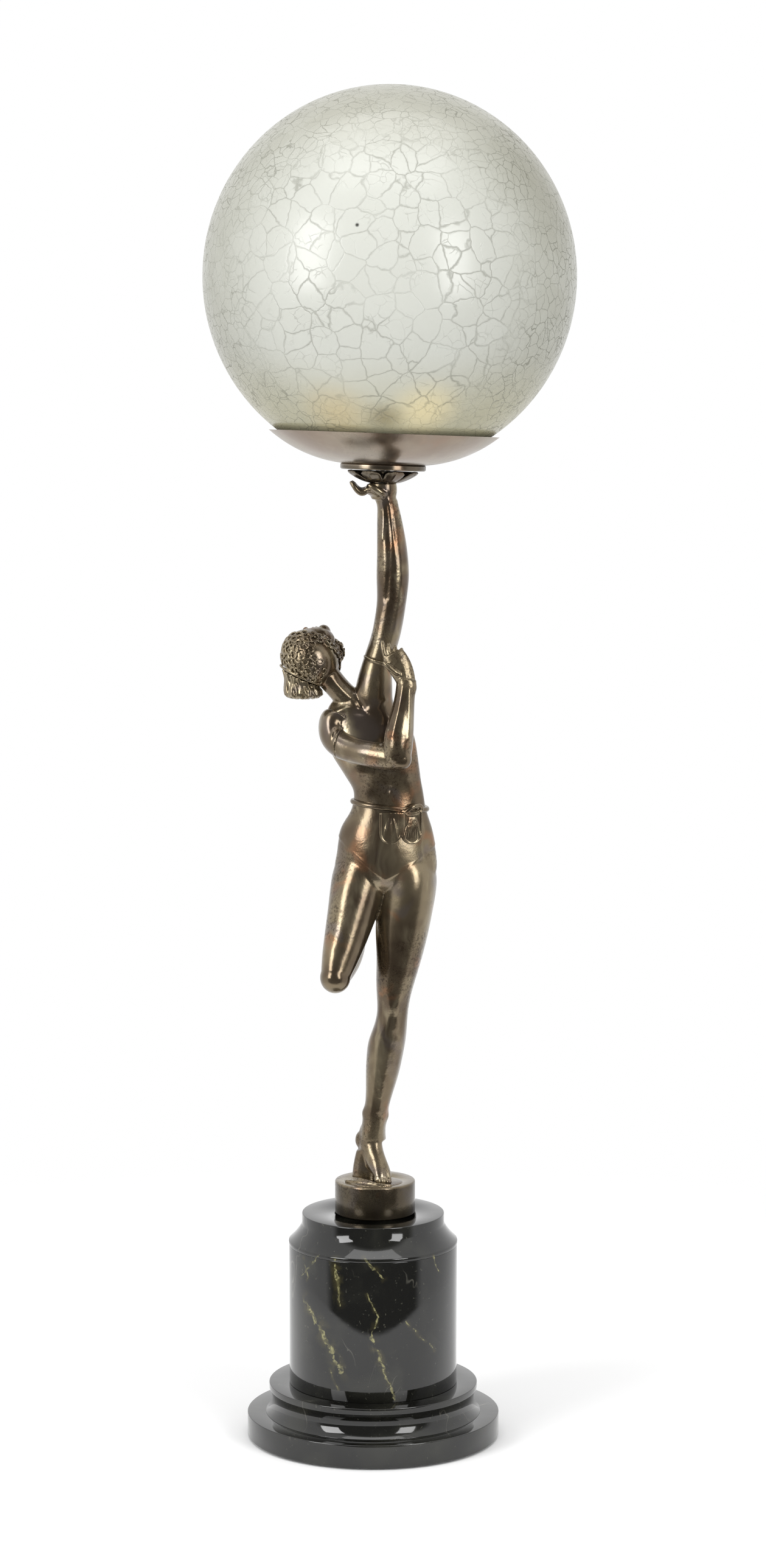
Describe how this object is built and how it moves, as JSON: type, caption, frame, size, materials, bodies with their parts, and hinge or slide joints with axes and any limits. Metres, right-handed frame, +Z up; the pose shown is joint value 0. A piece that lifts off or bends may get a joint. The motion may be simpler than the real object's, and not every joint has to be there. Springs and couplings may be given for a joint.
{
  "type": "figural table lamp",
  "caption": "Cast bronze dancer on tiptoe on a stepped black marble plinth, raising a leaf cup and dish that carry a crackled glass globe over an electric light bulb.",
  "frame": {"origin": "centre of the plinth's underside, on the table", "axes": "+Z up, +X to the viewer's right, +Y away from the viewer; the figure's chest faces -Y"},
  "size_m": [0.254, 0.254, 0.9358],
  "materials": {
    "felt": "matt dark green felt",
    "marble": "polished black marble with gold veins",
    "steel": "plain threaded steel",
    "bakelite": "black moulded plastic",
    "bronze": "dark patinated bronze, polished high spots",
    "gallery_bronze": "dark patinated bronze, smooth",
    "lead_cover": "matt",
    "cork": "cork",
    "crackle_glass": "frosted crackle glass, grey-green",
    "brass": "bright",
    "porcelain": "glazed white",
    "bulb_metal": "plain",
    "bulb_frost": "frosted",
    "clear_glass": "clear",
    "tungsten": "dull"
  },
  "bodies": {
    "lamp": {"felt_pad": "felt", "marble_foot": "marble", "marble_step": "marble", "marble_drum": "marble", "marble_cap": "marble", "tie_tube": "steel", "base_washer": "steel", "base_nut": "steel", "cord_bush": "bakelite", "bronze_disc": "bronze", "figure_screw": "steel", "figure_standing_leg": "bronze", "figure_bent_thigh": "bronze", "figure_bent_shin": "bronze", "figure_torso": "bronze", "figure_belt": "bronze", "figure_bent_arm": "bronze", "figure_raised_arm": "bronze", "figure_head": "bronze", "inner_lead": "lead_cover", "leaf_cup": "gallery_bronze", "gallery_plate": "gallery_bronze", "dish": "gallery_bronze", "globe_seat": "cork", "gallery_nipple": "steel", "gallery_nut": "brass", "holder_cap": "brass", "holder_sleeve": "brass", "holder_insulator": "porcelain", "holder_liner": "bakelite", "screw_shell": "brass", "centre_contact": "brass", "terminal_screws": "brass"},
    "globe": {"glass_globe": "crackle_glass", "glass_globe_bowl": "crackle_glass"},
    "light_bulb": {"bulb_tip": "brass", "bulb_cap": "bulb_metal", "bulb_glass": "bulb_frost", "bulb_stem": "clear_glass", "bulb_filament": "tungsten"}
  },
  "joints": [
    {"name": "globe_lift", "type": "slide", "parent": "lamp", "child": "globe", "axis": [0.0351, 0.0541, 0.9979], "range_m": [0, 0.14]},
    {"name": "bulb_turn", "type": "hinge", "parent": "lamp", "child": "light_bulb", "pos_m": [0.0069, 0, 0.6763], "axis": [0.0351, 0.0541, 0.9979], "range_deg": [0, 1080]}
  ]
}
